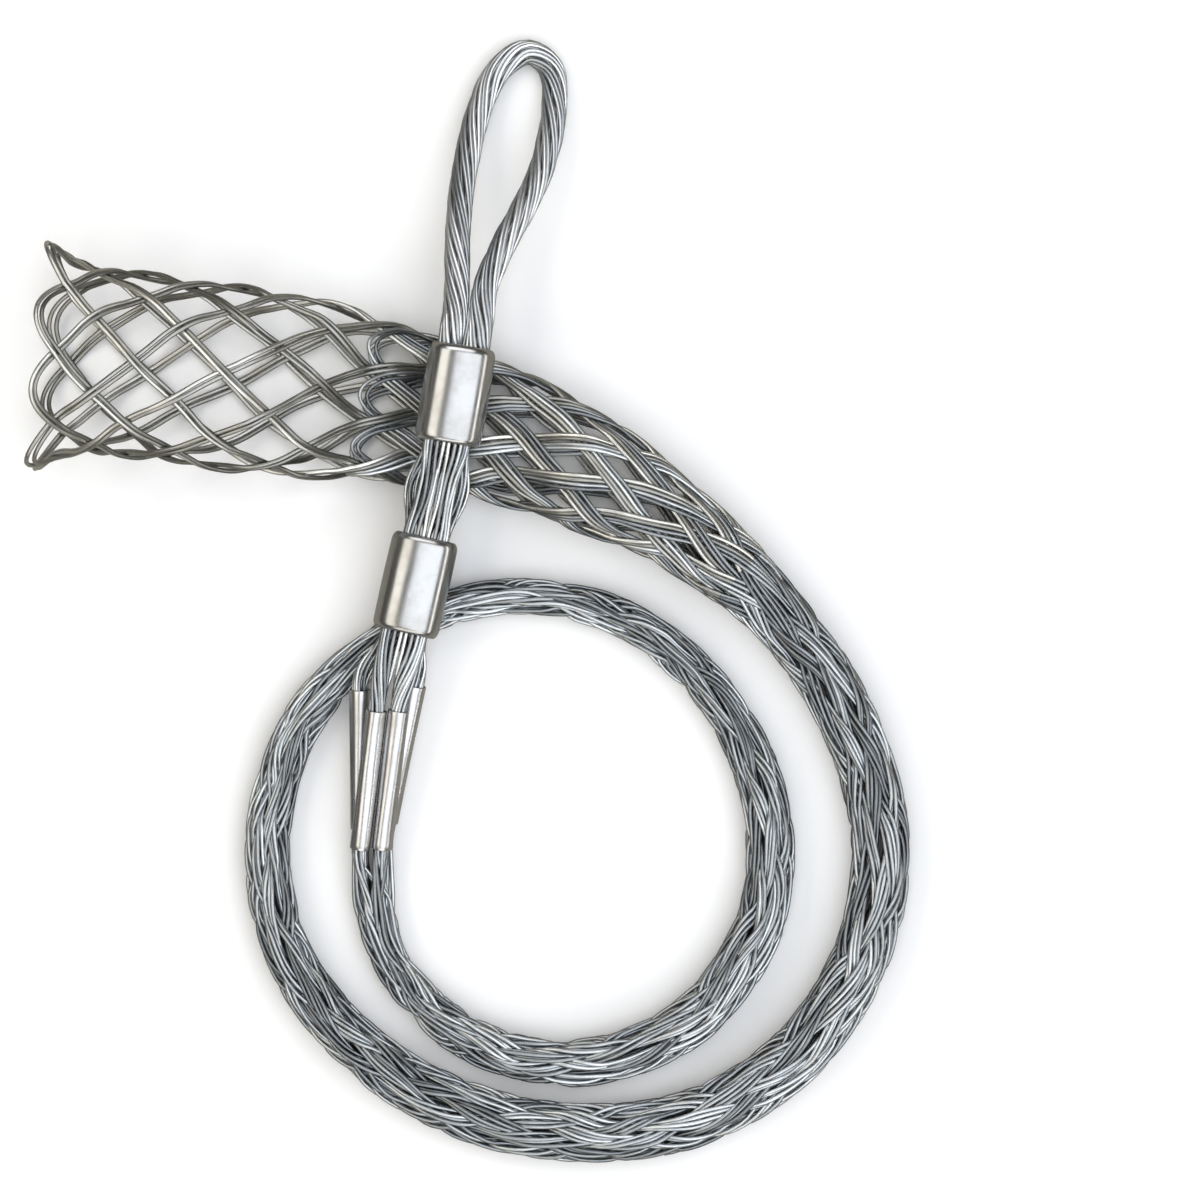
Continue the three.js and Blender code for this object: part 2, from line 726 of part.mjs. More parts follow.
function wireGroup(sleeve) {
  const path = groupLine(sleeve);
  const { end, towards } = sleeveAxis(sleeve);
  const entry = groupInBraid(sleeve, 0);
  const inside = groupInBraid(sleeve, START_LENGTH / 3);
  const inward = inside.clone().sub(entry).normalize();
  const bend = SLEEVES_TO_BRAID * SLEEVE_BEND;
  path.add(new THREE.CubicBezierCurve3(end, end.clone().addScaledVector(towards, -bend),
    entry.clone().addScaledVector(inward, -bend), entry));
  path.add(new THREE.LineCurve3(entry, inside));
  return lobedRope(path, GROUP_D, GROUP_LOBES, GROUP_LAY, 1.15 * GROUP_D);
}

// Rope eye

function eyeRope() {
  const half = FERRULE_L / 2;
  const right = (EYE_ROPE_D + CLEARANCE) / 2;
  const points = [
    ferrulePoint(UPPER_FERRULE, CLEARANCE, -right, 0),
    ferrulePoint(UPPER_FERRULE, half / 2, -right, 0),
    ferrulePoint(UPPER_FERRULE, half, -right, 0),
    ferrulePoint(UPPER_FERRULE, half + EYE_LEAD, -right, 0),
    ...EYE_ROUTE.map((p) => new THREE.Vector3(...p)),
    ferrulePoint(UPPER_FERRULE, half + EYE_LEAD, right, 0),
    ferrulePoint(UPPER_FERRULE, half, right, 0),
    ferrulePoint(UPPER_FERRULE, half / 2, right, 0),
    ferrulePoint(UPPER_FERRULE, CLEARANCE, right, 0),
  ];
  const curve = new THREE.CatmullRomCurve3(points, false, 'centripetal');
  return lobedRope(curve, EYE_ROPE_D, EYE_LOBES, -EYE_LAY, 0.65 * EYE_ROPE_D);
}

// Assembly

const galvanised = paint(0x8f959b, 0.42, 0.9);
const mouthWire = paint(0x93948f, 0.42, 0.9);
const polished = paint(0xb9bcc2, 0.16, 1);

const group = new THREE.Group();

function addPiece(name, geometry, material) {
  const mesh = new THREE.Mesh(geometry, material);
  mesh.name = name;
  group.add(mesh);
}

addPiece('eye_rope', eyeRope(), galvanised.clone());
group.add(ferruleMesh('upper_ferrule', UPPER_FERRULE, polished.clone()));
group.add(ferruleMesh('lower_ferrule', LOWER_FERRULE, polished.clone()));
SLEEVES.forEach((sleeve, k) => {
  addPiece(`wire_group_${k + 1}`, wireGroup(sleeve), galvanised.clone());
  group.add(sleeveMesh(sleeve, polished.clone()));
});
addPiece('closed_braid', closedBraid(), galvanised.clone());
for (let ribbon = 0; ribbon < RIBBONS; ribbon += 1) {
  addPiece(`mouth_loop_${ribbon + 1}`, mouthLoop(ribbon), mouthWire.clone());
  addPiece(`step_loop_${ribbon + 1}`, stepLoop(ribbon), galvanised.clone());
}

// The origin is under the middle of the whole part, on the ground.
group.updateMatrixWorld(true);
const box = new THREE.Box3().setFromObject(group, true);
group.position.set(-(box.min.x + box.max.x) / 2, -(box.min.y + box.max.y) / 2, -box.min.z);

export default group;
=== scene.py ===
import math

import bpy
import numpy as np
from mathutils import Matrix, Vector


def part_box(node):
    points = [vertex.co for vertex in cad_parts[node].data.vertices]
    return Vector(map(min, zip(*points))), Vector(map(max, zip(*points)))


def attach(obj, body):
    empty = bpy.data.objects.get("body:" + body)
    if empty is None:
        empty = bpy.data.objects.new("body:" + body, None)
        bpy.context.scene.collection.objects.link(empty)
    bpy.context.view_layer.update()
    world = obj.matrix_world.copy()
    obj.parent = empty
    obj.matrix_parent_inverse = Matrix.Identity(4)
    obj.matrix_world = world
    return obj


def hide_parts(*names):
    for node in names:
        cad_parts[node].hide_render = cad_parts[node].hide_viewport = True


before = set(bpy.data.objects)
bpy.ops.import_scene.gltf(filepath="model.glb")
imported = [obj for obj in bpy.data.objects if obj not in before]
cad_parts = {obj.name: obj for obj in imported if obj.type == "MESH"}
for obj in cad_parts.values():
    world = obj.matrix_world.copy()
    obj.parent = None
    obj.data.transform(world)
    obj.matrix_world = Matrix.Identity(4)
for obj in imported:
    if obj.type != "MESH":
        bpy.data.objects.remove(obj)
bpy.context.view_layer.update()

MM = 0.001
SEED = 825

# Wire and weave, as in the CAD part
WIRE_D = 1.6
RIBBONS = 8
COLUMNS = 2 * RIBBONS
CLEARANCE = 0.3
SIDE_CLOSED = 21.0
SIDE_WIDE = 24.0
SIDE_MOUTH = 19.5
SIDE_GROWS_FROM = 190.0
SIDE_WIDEST_AT = 95.0
PETAL_TURN = 25 / 360
STEP_ROW = 7
MOUTH_APEX = -0.45
STEP_APEX = 0.28
TIP_SPLAY = 8.0
MID_DEPTH = 2.95
OPEN_WEAVE_FROM_W = 30.0
START_W = 20.2

# Ferrules, sleeves, groups and eye, as in the CAD part
FERRULE_L = 39.0
FERRULE_W = 26.8
FERRULE_H = 22.0
FERRULE_WALL = 2.5
UPPER_FERRULE = {"node": "upper_ferrule", "x": -57.2, "y": 81.2, "turn": 9.7}
LOWER_FERRULE = {"node": "lower_ferrule", "x": -73.2, "y": 6.0, "turn": 12.8}
GROUP_D = 6.6
SLEEVE_WALL = 0.6
SLEEVE_L = 57.0
SLEEVES_TO_BRAID = 7.0
SLEEVE_SLOPE = 12.0
NECK_SPREAD = 8.7
GROUP_LAY = 160.0
EYE_ROPE_D = 10.4
EYE_LAY = 92.0

# The sock from the sleeves to the mouth: place in plan, width and height
ROUTE = [
    (-91.2, -106, START_W, START_W), (-89.4, -124, 16.6, 16.6), (-83.2, -144.8, 15, 15),
    (-51.6, -175.2, 18, 18), (-6.8, -184.4, 19.6, 19.6), (36.8, -167.2, 20.5, 20.5),
    (64, -127.6, 20.5, 20.5), (66, -81.2, 19.6, 19.6), (45.6, -37.6, 17.2, 17.2), (8, -6.8, 15.8, 15.8),
    (-39.6, 1.2, 15, 15), (-84, -14.4, 15, 15), (-118.4, -48, 17.6, 17.6), (-132.4, -94.4, 18.6, 18.6),
    (-124.4, -140.8, 19.6, 19.6), (-95.6, -178.4, 21.8, 21.8), (-56, -202.4, 23.8, 23.8),
    (-11.6, -212, 23.8, 23.8), (36, -206.8, 23.8, 23.8), (77.2, -182, 23.8, 23.8), (104, -142, 23.8, 23.8),
    (111.6, -95.2, 24, 24), (98, -46.4, 23.8, 23.8), (72, -7.2, 24.6, 24.6), (36.4, 25.2, 34.4, 32),
    (-4.8, 50.6, 48.5, 38), (-35, 64, 55, 26), (-54, 71, 58, 24), (-70, 75, 62, 24), (-92, 79.8, 68, 34),
    (-116, 84, 74, 56), (-140, 87, 76, 72), (-188, 93.4, 76, 76), (-208, 95.1, 80, 80), (-223, 96.3, 90, 90),
]

# The eye rope from one side of the upper ferrule to the other
EYE_ROUTE = [
    (-56.8, 119.2, 33), (-56.2, 149.6, 24.5), (-53.6, 172, 16.5), (-48, 196, 9.5), (-40, 212, 6),
    (-28.8, 218.8, 5.3), (-20, 212.8, 5.6), (-18.2, 197.2, 9), (-23.4, 171.2, 17), (-31.2, 154, 23.5),
    (-38.2, 140.8, 28.5), (-45.2, 123.6, 33.5),
]

# Each sleeve's side of the pair, its level, how far it sits up its group and where its group comes from
SLEEVES = [
    {"name": "sleeve_1", "side": -1, "upper": False, "raised": 8, "from": (-95.4, -40)},
    {"name": "sleeve_2", "side": -1, "upper": True, "raised": 0, "from": (-88.8, -45.2)},
    {"name": "sleeve_3", "side": 1, "upper": True, "raised": 0, "from": (-80, -44.8)},
    {"name": "sleeve_4", "side": 1, "upper": False, "raised": 11, "from": (-73.6, -36)},
]

UP = np.array([0.0, 0.0, 1.0])


def node_middle(name):
    low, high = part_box(name)
    return (np.array(low) + np.array(high)) / 2 / MM


# The frame is centred on the whole part, so the route's own coordinates move by this much.
OFFSET = node_middle("upper_ferrule") - np.array([UPPER_FERRULE["x"], UPPER_FERRULE["y"], 0.0])
OFFSET[2] = 0.0
for ferrule in (UPPER_FERRULE, LOWER_FERRULE):
    ferrule["z"] = float(node_middle(ferrule["node"])[2])


def smooth(share):
    t = np.clip(share, 0.0, 1.0)
    return t * t * (3 - 2 * t)


def mix(a, b, share):
    return a + (b - a) * share


def unit(v):
    return v / np.linalg.norm(v, axis=-1, keepdims=True)


# Curves

def centripetal(points, t):
    """Centripetal Catmull-Rom curve through points, at parameters t from 0 to 1."""
    p = np.asarray(points, float)
    p = np.vstack([2 * p[0] - p[1], p, 2 * p[-1] - p[-2]])
    spans = len(points) - 1
    at = np.clip(np.asarray(t, float) * spans, 0, spans)
    k = np.minimum(at.astype(int), spans - 1)
    w = (at - k)[:, None]
    p0, p1, p2, p3 = (p[k + n] for n in range(4))
    neighbours = ((p0, p1), (p1, p2), (p2, p3))
    d0, d1, d2 = (np.sqrt(np.linalg.norm(b - a, axis=1))[:, None] for a, b in neighbours)
    t1 = ((p1 - p0) / d0 - (p2 - p0) / (d0 + d1) + (p2 - p1) / d1) * d1
    t2 = ((p2 - p1) / d1 - (p3 - p1) / (d1 + d2) + (p3 - p2) / d2) * d1
    c2 = -3 * p1 + 3 * p2 - 2 * t1 - t2
    c3 = 2 * p1 - 2 * p2 + t1 + t2
    return p1 + t1 * w + c2 * w ** 2 + c3 * w ** 3


class Path:
    """A curve by its distance from the start. Past either end it goes straight on."""

    def __init__(self, points):
        self.points = np.asarray(points, float)
        steps = np.linalg.norm(np.diff(self.points, axis=0), axis=1)
        self.at = np.concatenate([[0.0], np.cumsum(steps)])
        self.length = self.at[-1]
        self.tangents = unit(np.gradient(self.points, self.at, axis=0))

    def look_up(self, values, s):
        return np.stack([np.interp(s, self.at, values[:, n]) for n in range(3)], axis=-1)

    def tangent(self, s):
        return unit(self.look_up(self.tangents, s))

    def point(self, s):
        inside = np.clip(s, 0, self.length)
        return self.look_up(self.points, inside) + self.tangent(s) * (s - inside)[..., None]


ROUTE_STEPS = 6000


def path_through(points, count=ROUTE_STEPS + 1):
    return Path(centripetal(points, np.linspace(0, 1, count)))


def bezier(p0, p1, p2, p3, count=40):
    t = np.linspace(0, 1, count)[:, None]
    return (1 - t) ** 3 * p0 + 3 * (1 - t) ** 2 * t * p1 + 3 * (1 - t) * t ** 2 * p2 + t ** 3 * p3


def level_frame(along):
    """Sideways and upward directions for a curve that never runs straight up."""
    side = unit(np.cross(UP, along))
    return side, np.cross(along, side)


# The sock's surface

route = path_through([(x, y, 0.0) for x, y, _, _ in ROUTE])
SOCK_L = route.length
stops = np.array([route.at[round(k / (len(ROUTE) - 1) * ROUTE_STEPS)] for k in range(len(ROUTE))])
girths = np.array([(w, h) for _, _, w, h in ROUTE], float)


def girth(s):
    """Width and height of the sock."""
    s = np.asarray(s, float)
    k = np.clip(np.searchsorted(stops, s, side="left") - 1, 0, len(stops) - 2)
    share = (s - stops[k]) / (stops[k + 1] - stops[k])
    eased = np.where(share > 1, share, mix(share, smooth(share), 0.6))[..., None]
    both = mix(girths[k], girths[k + 1], eased)
    return both[..., 0], both[..., 1]


def perimeter(width, height):
    return 2 * (width - height) + math.pi * height


def side_at(s):
    left = SOCK_L - np.asarray(s, float)
    far = mix(SIDE_WIDE, SIDE_CLOSED, smooth((left - SIDE_WIDEST_AT) / (SIDE_GROWS_FROM - SIDE_WIDEST_AT)))
    near = mix(SIDE_MOUTH, SIDE_WIDE, smooth(left / SIDE_WIDEST_AT))
    return np.where(left > SIDE_WIDEST_AT, far, near)


def sine_at(s):
    width, height = girth(s)
    return perimeter(width - 2 * MID_DEPTH, height - 2 * MID_DEPTH) / (COLUMNS * side_at(s))


ROW_STEP = 0.5
row_s = np.arange(SOCK_L, 0, -ROW_STEP)
row_pitch = side_at(row_s[1:]) * np.sqrt(1 - sine_at(row_s[1:]) ** 2)
row_number = np.concatenate([[0.0], np.cumsum(ROW_STEP / row_pitch)])
OPEN_ROW = math.ceil(row_number[np.argmax(girth(row_s)[0] < OPEN_WEAVE_FROM_W)])


def distance_of_row(row):
    past = SOCK_L - row * ROW_STEP / row_number[1]
    return np.where(row <= 0, past, np.interp(row, row_number, row_s))


def surface(s, turn, inset):
    """Points on the sock. The turn goes round it from 0 to 1, along a section with a flat top and bottom."""
    width, height = girth(s)
    flat = np.maximum(0, (width - height) / 2)
    radius = height / 2 - inset
    quarter = math.pi * radius / 2
    at = (turn % 1.0) * (4 * flat + 4 * quarter)
    top = (at >= quarter) & (at < quarter + 2 * flat)
    left = (at >= quarter + 2 * flat) & (at < 3 * quarter + 2 * flat)
    under = (at >= 3 * quarter + 2 * flat) & (at < 3 * quarter + 4 * flat)
    last = at >= 3 * quarter + 4 * flat
    cases = [top, left, under, last]
    x = np.select(cases, [flat - (at - quarter), -flat, at - 3 * quarter - 3 * flat, flat], flat)
    angle = np.select(
        cases,
        [math.pi / 2, (at - 2 * flat) / radius, 1.5 * math.pi, (at - 4 * flat) / radius],
        at / radius,
    )
    side = unit(np.cross(UP, route.tangent(s)))
    out = side * np.cos(angle)[..., None] + UP * np.sin(angle)[..., None]
    point = route.point(s) + side * x[..., None] + out * radius[..., None]
    point[..., 2] += height / 2
    return point


# Wires of the sock

def wander(rng, s, longest, amount, octaves=3):
    """A slow random drift along a wire, from a few waves of random phase."""
    total = np.zeros_like(s)
    for n in range(octaves):
        wave = longest / (1.9 ** n) * rng.uniform(0.8, 1.25)
        total += amount / (1.6 ** n) * np.sin(2 * math.pi * (s / wave + rng.uniform()))
    return total


# The photo shows the wires of the braid and of the mouth a little bolder than the others.
BRAID_WIRE_D = 1.75
MOUTH_WIRE_D = 1.85
MOUTH_WIRE_PITCH = 1.95
OPEN_WIRE_PITCH = 1.68
SHUT_PITCH_LEAST = 0.7
SHUT_PITCH_MOST = 1.7
RIBBON_FILL = 0.62

# How deep the wires run under the sock's surface, and how far they rise and dip at a crossing
OPEN_DEPTH = 2.3
OPEN_LIFT = 0.95
OPEN_SHARPNESS = 1.3
SHUT_DEPTH = 0.85
SHUT_LIFT = 0.86
SHUT_SHARPNESS = 1.5
STAGGER_SHARE = 0.9

# Uneven hand work: how far ribbons and wires stray, and the longest wave that they stray in
FILL_SWAY = 0.12
FILL_WAVE = 90.0
DRIFT_OPEN = 0.9
DRIFT_SHUT = 0.85
DRIFT_WAVE = 130.0
STRAY_OPEN = 0.16
STRAY_SHUT = 0.13
STRAY_WAVE = 90.0
DEPTH_SWAY = 0.08
DEPTH_WAVE = 60.0
TIP_SWAY = 1.2

# Rows from the mouth over which the straying grows, and rows before the step where the wires part into pairs
CALM_ROWS = 2.5
PARTING_ROWS = 2

OPENNESS_S = distance_of_row(np.array([OPEN_ROW + 3.0, OPEN_ROW - 3.0]))


def openness(s):
    """0 in the closed braid, 1 in the open weave."""
    return smooth((s - OPENNESS_S[0]) / (OPENNESS_S[1] - OPENNESS_S[0]))


def wire_pitch(s, fill):
    """Spacing of the wires across a ribbon that fills this share of its room."""
    width, height = girth(s)
    room = perimeter(width - WIRE_D, height - WIRE_D) / RIBBONS
    shut = np.clip((fill * room - BRAID_WIRE_D) / 3, SHUT_PITCH_LEAST, SHUT_PITCH_MOST)
    return mix(shut, OPEN_WIRE_PITCH, openness(s))


def sock_wire(hand, ribbon, number, rows):
    """One wire of a ribbon at rows of the weave. Wire 0 is the outermost where the ribbon turns back."""
    ribbon_rng = np.random.default_rng([SEED, hand + 1, ribbon % RIBBONS])
    wire_rng = np.random.default_rng([SEED, hand + 1, ribbon % RIBBONS, number])
    s0 = distance_of_row(rows)
    wide = openness(s0)
    pitch = wire_pitch(s0, RIBBON_FILL + wander(ribbon_rng, s0, FILL_WAVE, FILL_SWAY))
    own = (number - 1.5) * pitch
    single = mix((number % 2 - 0.5) * MOUTH_WIRE_PITCH, own, smooth((rows - STEP_ROW) / PARTING_ROWS + 1))
    drift = wander(ribbon_rng, s0, DRIFT_WAVE, 1.0) * mix(DRIFT_SHUT, DRIFT_OPEN, wide)
    stray = wander(wire_rng, s0, STRAY_WAVE, 1.0) * mix(STRAY_SHUT, STRAY_OPEN, wide)
    calm = smooth(rows / CALM_ROWS)
    x = single + (drift + stray) * calm
    side = side_at(s0)
    sine = sine_at(s0)
    cosine = np.sqrt(1 - sine ** 2)
    s = s0 - x * sine
    width, height = girth(s)
    once_round = perimeter(width - 2 * MID_DEPTH, height - 2 * MID_DEPTH)
    turn = PETAL_TURN + (2 * ribbon + hand * rows) / COLUMNS - hand * x * cosine / once_round
    phase = rows - (x / side) * (cosine ** 2 - sine ** 2) / (2 * sine * cosine)
    sharp = mix(SHUT_SHARPNESS, OPEN_SHARPNESS, wide)
    weave = np.tanh(sharp * hand * np.cos(math.pi * phase)) / np.tanh(sharp)
    stagger = np.sqrt(np.maximum(0, BRAID_WIRE_D ** 2 - pitch ** 2)) * (1 - wide) * STAGGER_SHARE
    lift = mix(SHUT_LIFT + stagger / 2, OPEN_LIFT, wide)
    middle = mix(SHUT_DEPTH + lift + stagger / 2, OPEN_DEPTH, wide)
    odd = stagger * (0.5 if number % 2 else -0.5)
    deep = wander(wire_rng, s0, DEPTH_WAVE, 1.0) * DEPTH_SWAY
    return surface(s, turn, middle - lift * weave + odd + deep)


def turn_back(before, after, apex, count):
    """A rounded tip between two wires that lean towards apex."""
    t = np.linspace(0, 1, count + 1)[1:-1, None]
    return (1 - t) ** 2 * before + 2 * (1 - t) * t * apex + t ** 2 * after


def loop_wire(ribbon, tip_row, number, rng):
    """A wire from the closed braid to a petal's tip, and back along the other hand's ribbon."""
    stations = max(3, int((OPEN_ROW - tip_row - 1) * 9))
    rows = np.linspace(OPEN_ROW, tip_row + 1, stations)
    there = sock_wire(1, ribbon, number, rows)
    back = sock_wire(-1, ribbon + tip_row, number, rows)[::-1]
    middle = (there[-1] + back[0]) / 2
    inside = (number % 2 - 0.5) * MOUTH_WIRE_PITCH
    turn = PETAL_TURN + (2 * ribbon + tip_row) / COLUMNS
    at_mouth = tip_row == 0
    apex_row = MOUTH_APEX if at_mouth else tip_row + STEP_APEX
    splay = TIP_SPLAY * math.cos(2 * math.pi * turn) ** 4 if at_mouth else 0.0
    tip = distance_of_row(np.array([apex_row])) - inside / 0.68 + rng.uniform(-TIP_SWAY, TIP_SWAY)
    apex = surface(tip, np.array([turn]), np.array([OPEN_DEPTH - 2 * splay]))[0]
    apex = apex + (apex - middle) * 0.04 * (1 - number % 2)
    return np.vstack([there, turn_back(there[-1], back[0], apex, 16), back])


# Ferrules and sleeves

def ferrule_frame(ferrule):
    turn = math.radians(ferrule["turn"])
    along = np.array([math.sin(turn), math.cos(turn), 0.0])
    right = np.array([math.cos(turn), -math.sin(turn), 0.0])
    return np.array([ferrule["x"], ferrule["y"], ferrule["z"]]), along, right


def ferrule_point(ferrule, along, right, up):
    centre, forward, sideways = ferrule_frame(ferrule)
    return centre + forward * along + sideways * right + UP * up


SLEEVE_BORE_D = GROUP_D + 2 * CLEARANCE
SLEEVE_D = SLEEVE_BORE_D + 2 * SLEEVE_WALL
SLEEVE_PITCH = SLEEVE_D + CLEARANCE
GROUP_PITCH = GROUP_D + CLEARANCE
BORE_W = FERRULE_W - 2 * FERRULE_WALL
BORE_H = FERRULE_H - 2 * FERRULE_WALL


def sleeve_axis(sleeve):
    """Upper end, lower end and the direction from the lower to the upper one."""
    level = 0.5 if sleeve["upper"] else -0.5
    start = np.array(ROUTE[0][:2])
    end = np.array([
        start[0] + sleeve["side"] * SLEEVE_PITCH / 2,
        start[1] + SLEEVES_TO_BRAID,
        START_W / 2 + level * SLEEVE_PITCH,
    ])
    plan = unit(np.array([sleeve["from"][0] - end[0], sleeve["from"][1] - end[1], 0.0]))
    rise = math.radians(SLEEVE_SLOPE)
    towards = plan * math.cos(rise) + UP * math.sin(rise)
    end = end + towards * sleeve["raised"]
    return end + towards * SLEEVE_L, end, towards


def group_place(sleeve):
    """Where a wire group's centre lies in both ferrules' bores: to the right and up."""
    up = GROUP_PITCH * (0.5 if sleeve["upper"] else -0.5)
    room = BORE_H / 2 - GROUP_D / 2 - CLEARANCE
    return sleeve["side"] * ((BORE_W - BORE_H) / 2 + math.sqrt(room ** 2 - up ** 2)), up


def group_path(sleeve):
    """A wire group's centre line, from inside the upper ferrule to inside the lower end of its sleeve."""
    top, end, towards = sleeve_axis(sleeve)
    half = FERRULE_L / 2
    right, up = group_place(sleeve)
    a = ferrule_point(UPPER_FERRULE, -CLEARANCE, right, up)
    b = ferrule_point(UPPER_FERRULE, -half, right, up)
    c = ferrule_point(LOWER_FERRULE, half, right, up)
    d = ferrule_point(LOWER_FERRULE, -half, right, up)
    spread = GROUP_PITCH / 2 + CLEARANCE if sleeve["upper"] else NECK_SPREAD
    shift = sleeve["side"] * spread - right
    turn = math.radians((UPPER_FERRULE["turn"] + LOWER_FERRULE["turn"]) / 2)
    across = np.array([math.cos(turn), -math.sin(turn), 0.0])
    middle = (b + c) / 2 + across * shift
    bend = np.linalg.norm(b - c) * 0.2
    up_dir, down_dir, through = unit(a - b), unit(d - c), unit(c - b)
    fall = np.linalg.norm(top - d) * 0.4
    runs = [
        np.linspace(a, b, 20),
        bezier(b, b - up_dir * bend, middle - through * bend, middle),
        bezier(middle, middle + through * bend, c - down_dir * bend, c),
        np.linspace(c, d, 20),
        bezier(d, d + down_dir * fall, top + towards * fall, top),
        np.linspace(top, mix(top, end, 0.8), 20),
    ]
    points = np.vstack([run if n == 0 else run[1:] for n, run in enumerate(runs)])
    lengths = [np.linalg.norm(np.diff(run, axis=0), axis=1).sum() for run in runs]
    return Path(points), np.cumsum(lengths)


# Sixteen wires in a round bundle: distance from the middle and angle in turns.
BUNDLE = [(0.93, (n + 0.5) / 4) for n in range(4)] + [(2.58, n / 12) for n in range(12)]


BORE_COLUMN = 2.5
BORE_ROW = 2.0


def bore_spots(sleeve):
    """Sixteen places in a wire group's quarter of a ferrule's bore: to the right and up."""
    flat = (BORE_W - BORE_H) / 2
    reach = BORE_H / 2 - WIRE_D / 2 - CLEARANCE
    spots = []
    for column in range(4):
        for row in range(4):
            x, z = 1.0 + BORE_COLUMN * column, 1.0 + BORE_ROW * row
            away = math.hypot(max(0.0, x - flat), z)
            if away > reach:
                x, z = min(x, flat) + max(0.0, x - flat) * reach / away, z * reach / away
            spots.append((sleeve["side"] * x, z if sleeve["upper"] else -z))
    return np.array(spots)


def bore_offsets(sleeve, ferrule, offsets):
    """For each wire's offset in the bundle, the nearest free place in the bore, as an offset too."""
    _, _, sideways = ferrule_frame(ferrule)
    spots = bore_spots(sleeve) - np.array(group_place(sleeve))
    places = np.stack([offsets @ sideways, offsets[:, 2]], axis=1)
    chosen = [None] * len(offsets)
    for spot in spots[np.argsort(-np.linalg.norm(spots, axis=1))]:
        free = [n for n, done in enumerate(chosen) if done is None]
        nearest = min(free, key=lambda n: float(np.linalg.norm(places[n] - spot)))
        chosen[nearest] = sideways * spot[0] + UP * spot[1]
    return np.array(chosen)


# How loosely the wires lie in the neck and below the lower ferrule, and how far they turn in the neck
NECK_LOOSE = 0.26
FALL_LOOSE = 0.32
NECK_LAY_SHARE = 0.2


def group_wires(sleeve, rng):
    """The wires fill a quarter of each ferrule's bore, and draw together on their way into the sleeve."""
    path, ends = group_path(sleeve)
    s = np.linspace(0, path.length, int(path.length / 2.6))
    centre = path.point(s)
    side, top = level_frame(path.tangent(s))
    gap_1 = np.clip((s - ends[0]) / (ends[2] - ends[0]), 0, 1)
    gap_2 = np.clip((s - ends[3]) / (ends[4] - ends[3]), 0, 1)
    loose = np.sin(math.pi * gap_1) ** 2 * NECK_LOOSE + np.sin(math.pi * gap_2) ** 2 * FALL_LOOSE
    laid = NECK_LAY_SHARE * s + (1 - NECK_LAY_SHARE) * np.maximum(0, s - ends[3])
    turned = 2 * math.pi * laid / GROUP_LAY * sleeve["side"] * (1 if sleeve["upper"] else 0.6)
    offsets = []
    for radius, angle in BUNDLE:
        at = 2 * math.pi * angle + turned + wander(rng, s, 120, 0.12) + loose * rng.uniform(-0.8, 0.8)
        away = radius * (1 + loose * rng.uniform(0.7, 1.3)) + wander(rng, s, 70, 0.5) * loose
        offsets.append(side * (away * np.cos(at))[:, None] + top * (away * np.sin(at))[:, None])
    offsets = np.array(offsets)
    mouths = [int(np.searchsorted(s, end)) for end in (ends[0], ends[2])]
    in_upper = bore_offsets(sleeve, UPPER_FERRULE, offsets[:, mouths[0]])
    in_lower = bore_offsets(sleeve, LOWER_FERRULE, offsets[:, mouths[1]])
    upper_share = 1 - smooth((s - ends[0]) / (ends[1] - ends[0]))
    lower_share = smooth((s - ends[1]) / (ends[2] - ends[1]))
    lower_share *= 1 - smooth((s - ends[3]) / (ends[4] - ends[3]))
    wires = []
    for offset, upper_spot, lower_spot in zip(offsets, in_upper, in_lower):
        held = mix(offset, upper_spot, upper_share[:, None])
        wires.append(centre + mix(held, lower_spot, lower_share[:, None]))
    return wires


def eye_path():
    half = FERRULE_L / 2
    right = (EYE_ROPE_D + CLEARANCE) / 2
    lead = [CLEARANCE, half / 2, half, half + 8]
    points = [ferrule_point(UPPER_FERRULE, at, -right, 0) for at in lead]
    points += [np.array(p, float) for p in EYE_ROUTE]
    points += [ferrule_point(UPPER_FERRULE, at, right, 0) for at in reversed(lead)]
    return path_through(points, 2001)


# Wires of the eye rope in layers: distance from the middle and the sizes of the bunches that they lie in.
EYE_LAYERS = [
    (EYE_ROPE_D / 2 - WIRE_D / 2, (3, 2, 2, 3, 2, 2)),
    (2.7, (2, 1, 1, 2, 1, 1)),
    (1.1, (1, 1, 1, 1)),
]


def eye_wires(rng):
    """The same wires as the sock's, laid round each other in bunches with a groove between them."""
    path = eye_path()
    s = np.linspace(0, path.length, int(path.length / 2.4))
    centre = path.point(s)
    side, top = level_frame(path.tangent(s))
    wires = []
    for distance, bunches in EYE_LAYERS:
        width = 2 * math.asin(min(1.0, WIRE_D / 2 / distance))
        groove = max(0.0, 2 * math.pi - width * sum(bunches)) / len(bunches)
        start = 0.0
        for count in bunches:
            sway = wander(rng, s, 150, 0.045)
            for n in range(count):
                middle = 1 - abs(n - (count - 1) / 2)
                turn = start + (n + 0.5) * width - 2 * math.pi * s / EYE_LAY
                at = turn + sway + wander(rng, s, 70, 0.015)
                away = distance + 0.14 * middle - 0.1 + wander(rng, s, 60, 0.07)
                sideways = side * (away * np.cos(at))[:, None]
                wires.append(centre + sideways + top * (away * np.sin(at))[:, None])
            start += count * width + groove
    return wires


# Materials

def linear(hex_colour):
    """An sRGB hex colour as linear RGBA."""
    parts = [int(hex_colour[n:n + 2], 16) / 255 for n in (0, 2, 4)]
    return [c / 12.92 if c <= 0.04045 else ((c + 0.055) / 1.055) ** 2.4 for c in parts] + [1.0]


def add_node(tree, kind, inputs=None, links=None, **settings):
    """Adds a node. Inputs are values by socket name or number, and links are sockets by the same keys."""
    node = tree.nodes.new(kind)
    for name, value in settings.items():
        setattr(node, name, value)
    for key, value in (inputs or {}).items():
        node.inputs[key].default_value = value
    for key, source in (links or {}).items():
        tree.links.new(source, node.inputs[key])
    return node


